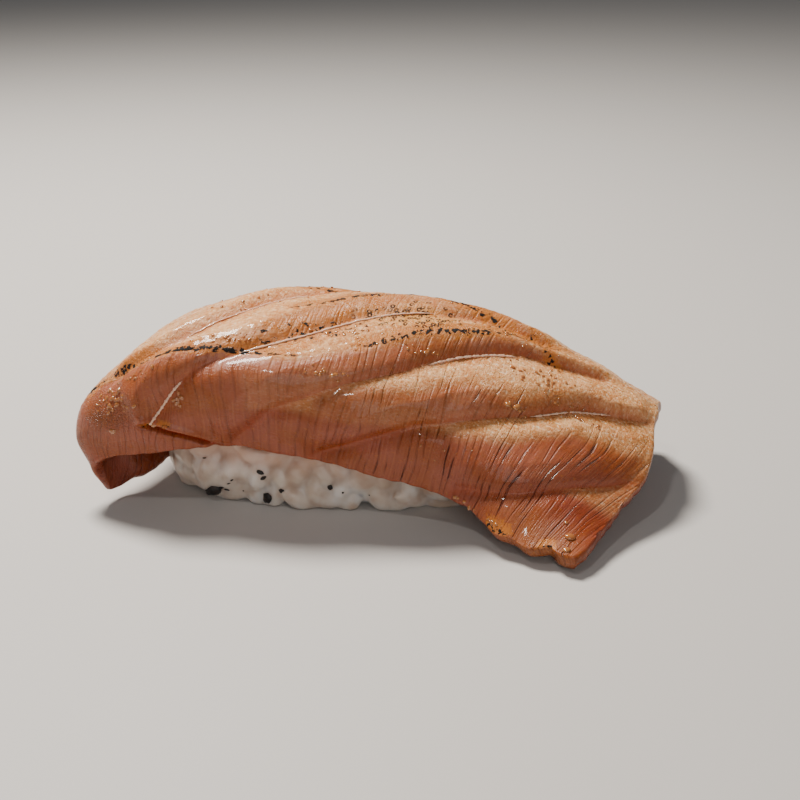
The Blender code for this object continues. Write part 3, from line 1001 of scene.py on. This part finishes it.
# %% Bed the grains in the ball's side
GRAIN_FOOT = 0.02
bedded = []
for place, out in zip(seats, outs):
    length = GRAIN_LENGTH * rng.uniform(0.86, 1.15)
    thick = GRAIN_THICKNESS * rng.uniform(0.92, 1.08)
    points, faces = grain_shape(length, GRAIN_WIDTH * rng.uniform(0.85, 1.05), thick, rng.uniform(-0.5, 0.5))
    tilt = np.array(Euler((rng.normal(0, 0.2), rng.normal(0, 0.14), 0)).to_matrix())
    sunk = thick / 2 + rng.uniform(-0.1, 0.45)
    points = set_upright(points @ tilt.T, place - sunk * out, out, rng.uniform(0, np.pi))
    points[:, 2] = np.maximum(points[:, 2], GRAIN_FOOT)
    bedded.append((points, faces))
print("grains:", len(bedded))

# %% [markdown]
# Cooked grains aren't loose stones: starch glues them and fills the corner between two of them. An exact
# union would leave sharp creases. Remeshing all of them as one skin, then easing it, makes soft corners.

# %% Let the grains stick together
STICK_VOXEL = 0.24
STICK_ROUNDS = 3
core_points = np.array([v.co for v in core_mesh.vertices]) / MM
core_faces = [list(p.vertices) for p in core_mesh.polygons]
loose = join_up("loose_grains", bedded + [(core_points, core_faces)])
remesh = loose.modifiers.new("stick", "REMESH")
remesh.mode = "VOXEL"
remesh.voxel_size = STICK_VOXEL * MM
bpy.context.view_layer.update()
skin_mesh = bpy.data.meshes.new_from_object(loose.evaluated_get(bpy.context.evaluated_depsgraph_get()))
bpy.data.objects.remove(loose)
bm = bmesh.new()
bm.from_mesh(skin_mesh)
ease_out(bm, STICK_ROUNDS)
bm.to_mesh(skin_mesh)
bm.free()
shade_smooth(skin_mesh)
rice_grains = put_in_scene("rice_grains", skin_mesh)
print("faces of the sticky grains:", len(skin_mesh.polygons))

# %% [markdown]
# Flecks of char fell from the torched edge onto the rice. Each is a crumb with a broken outline, so it is
# a small ball, dented by noise, half bedded in the rice. Its place is where it lies along and up the front.

# %% Drop the char flecks
Fleck = namedtuple("Fleck", "x z long wide turn")
FLECKS = (
    Fleck(-15.4, 1.7, 1.10, 0.85, 0.3),
    Fleck(-14.4, 2.2, 0.70, 0.24, 0.5),
    Fleck(-13.6, 2.1, 0.38, 0.18, -0.3),
    Fleck(-8.4, 1.3, 0.85, 0.70, 1.2),
    Fleck(-8.9, 5.5, 0.50, 0.28, -0.6),
    Fleck(-8.6, 4.7, 0.42, 0.26, 0.4),
    Fleck(-6.5, 2.7, 0.38, 0.26, 0.2),
    Fleck(-0.4, 3.4, 0.42, 0.34, 1.0),
    Fleck(1.2, 3.0, 0.16, 0.13, 0.0),
    Fleck(-16.2, 6.2, 0.40, 0.10, 0.3),
    Fleck(-12.7, 3.9, 0.26, 0.16, 0.9),
    Fleck(-13.2, 3.2, 0.24, 0.10, 0.2),
    Fleck(-11.5, 2.0, 0.10, 0.10, 0.0),
    Fleck(4.4, 2.4, 0.12, 0.10, 0.0),
)
FLECK_DENTED = 0.45
FLECK_LIFT = 0.05
rng = np.random.default_rng(3)
bpy.context.view_layer.update()
fallen = []
for fleck in FLECKS:
    _, place, out, _ = rice_grains.ray_cast(Vector((fleck.x, -40, fleck.z)) * MM, Vector((0, 1, 0)))
    points, faces = dome(fleck.long, fleck.wide, 0.5 * fleck.wide)
    dents = noise_at(points, 0.45 * fleck.wide + 0.1, float(rng.uniform(1, 9)))
    points = points * (1 + FLECK_DENTED * dents[:, None])
    place, out = np.array(place) / MM, np.array(out)
    fallen.append((set_upright(points, place + FLECK_LIFT * out, out, fleck.turn), faces))
char_flecks = join_up("char_flecks", fallen)
soot = Finish("char")
soot_at = soot.add("ShaderNodeTexCoord", "Object")
char_flecks.data.materials.append(
    soot.finish(
        Base_Color=soot.mix(soot.step(soot.speckle(soot_at, 1500.0), 0.4, 0.7), "0b0807", "2a1a12"),
        Roughness=0.42,
        Normal=soot.bump(soot.speckle(soot_at, 3000.0), 0.15 * MM, 0.8),
    )
)
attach(char_flecks, "root")
print("flecks:", len(FLECKS))

# %% [markdown]
# Cooked rice is white only in the mass. Each grain lets light in and gives it back softly, wet on the
# outside, and a little warmer high up, where it takes the fish's fat. Clear rice would need many more
# light paths, so its look is light scattered under the surface, a thin wet coat, and shifts of tint.

# %% Mix the rice finish
rice = Finish("sushi_rice")
spot_at = rice.add("ShaderNodeTexCoord", "Object")
milky = rice.speckle(spot_at, 260.0, 3.0)
cloud = rice.speckle(spot_at, 420.0, 2.0)
rice_colour = rice.mix(rice.step(cloud, 0.35, 0.65), "d3c5b8", "bfa896")
rice_colour = rice.mix(rice.step(milky, 0.45, 0.7, 0.0, 0.6), rice_colour, "e9e8e6")
height_up = rice.add("ShaderNodeSeparateXYZ", "Z", Vector=spot_at)
rice_colour = rice.mix(rice.step(height_up, 3.5 * MM, 8.0 * MM, 0.0, 0.6), rice_colour, "cf9f86")
rice_finish = rice.finish(
    Base_Color=rice_colour,
    Roughness=rice.step(milky, 0.3, 0.7, 0.28, 0.42),
    Normal=rice.bump(rice.speckle(spot_at, 700.0, 3.0), 0.08 * MM, 0.5),
    Subsurface_Weight=0.9,
    Subsurface_Radius=(1.0, 0.85, 0.7),
    Subsurface_Scale=2.2 * MM,
    Coat_Weight=0.35,
    Coat_Roughness=0.15,
    IOR=1.38,
)
for piece in (rice_core, rice_grains):
    piece.data.materials.append(rice_finish)
    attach(piece, "root")
    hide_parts("rice")
print("nodes in the rice finish:", len(rice.tree.nodes))

# %% [markdown]
# ## Floor and light
# The nigiri is shown on a plain pale floor. A soft lamp above and behind the left end lights the tops
# and leaves the front in soft shade, so that the steps show. Light from the front would flatten them, so
# the large lamp there is weak. A small one makes the wet fat sparkle, and a pale sky fills the rest.

# %% Floor, lamps and sky
bpy.ops.mesh.primitive_plane_add(size=3.0, location=(0, 0, 0))
floor = bpy.context.object
floor.name = "floor"
floor_finish = Finish("pale_floor")
floor.data.materials.append(floor_finish.finish(Base_Color=(0.52, 0.5, 0.48, 1), Roughness=0.6))


def lamp(name, place, size, watts, colour, aim=(0, 0, 10)):
    """A round lamp, with its place, size and aim in mm."""
    made = bpy.data.lights.new(name, "AREA")
    made.shape = "DISK"
    made.size = size * MM
    made.energy = watts
    made.color = colour
    hung = put_in_scene(name, made)
    hung.location = Vector(place) * MM
    hung.rotation_euler = (Vector(aim) - Vector(place)).to_track_quat("-Z", "Y").to_euler()


lamp("window", (-130, 130, 340), 110, 3.4, (1.0, 0.94, 0.86))
lamp("spark", (-70, -150, 300), 22, 0.13, (1.0, 0.97, 0.93))
lamp("front_card", (60, -330, 160), 200, 0.3, (1.0, 0.95, 0.9))
world = bpy.data.worlds.new("sky")
world.use_nodes = True
sky = world.node_tree.nodes["Background"]
sky.inputs["Color"].default_value = (0.86, 0.87, 0.9, 1)
sky.inputs["Strength"].default_value = 0.14
bpy.context.scene.world = world
